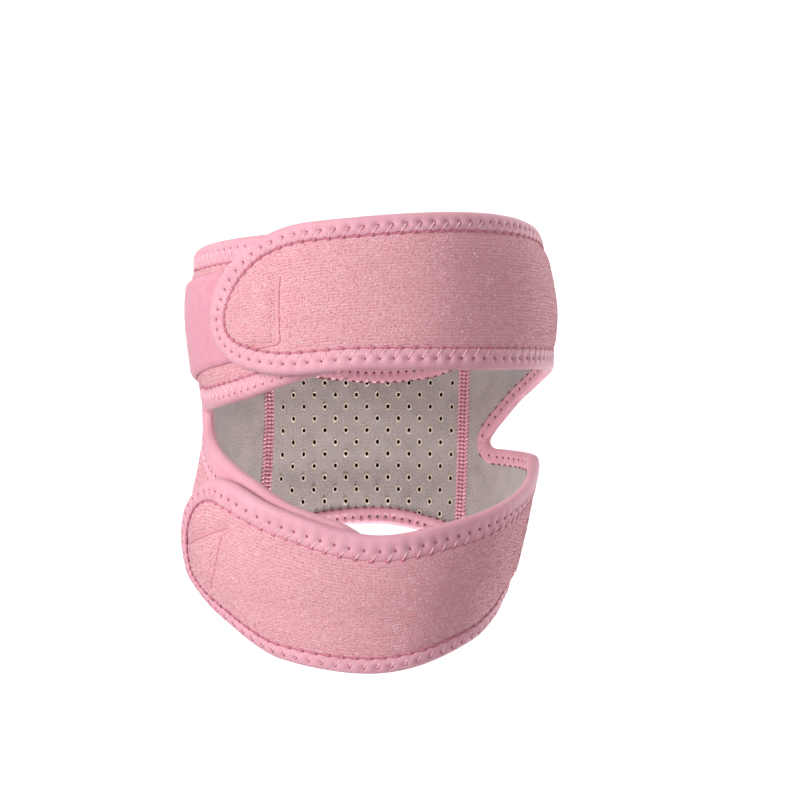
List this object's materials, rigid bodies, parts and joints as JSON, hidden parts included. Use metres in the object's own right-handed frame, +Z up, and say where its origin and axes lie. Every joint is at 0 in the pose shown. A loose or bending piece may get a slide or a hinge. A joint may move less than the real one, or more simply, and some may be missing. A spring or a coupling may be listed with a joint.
{
  "type": "adjustable knee sleeve",
  "caption": "Wrap-round padded knee support with an open kneecap window, straps closed over tabs at the front, bound edges and a perforated back panel.",
  "frame": {"origin": "on the leg's axis, at the middle of the height of the kneecap window", "axes": "+Z up the leg, -Y out of the kneecap window to the front, +X to the right of someone who faces the front"},
  "size_m": [0.1335, 0.1411, 0.154],
  "materials": {
    "pile": "pink brushed loop pile laminated on neoprene, grey jersey inside",
    "lining": "grey jersey laminated on neoprene, perforated",
    "tape": "pink ribbed binding tape and sewing thread",
    "landing": "smooth matte pink loop band",
    "hook": "pink moulded hooks"
  },
  "bodies": {
    "root": {"centre_panel": "lining", "strap_panel": "pile", "tab_panel": "pile", "right_seam": "tape", "left_seam": "tape", "edge_binding": "tape", "landing_band": "landing", "upper_hook_patch": "hook", "lower_hook_patch": "hook"}
  },
  "joints": []
}
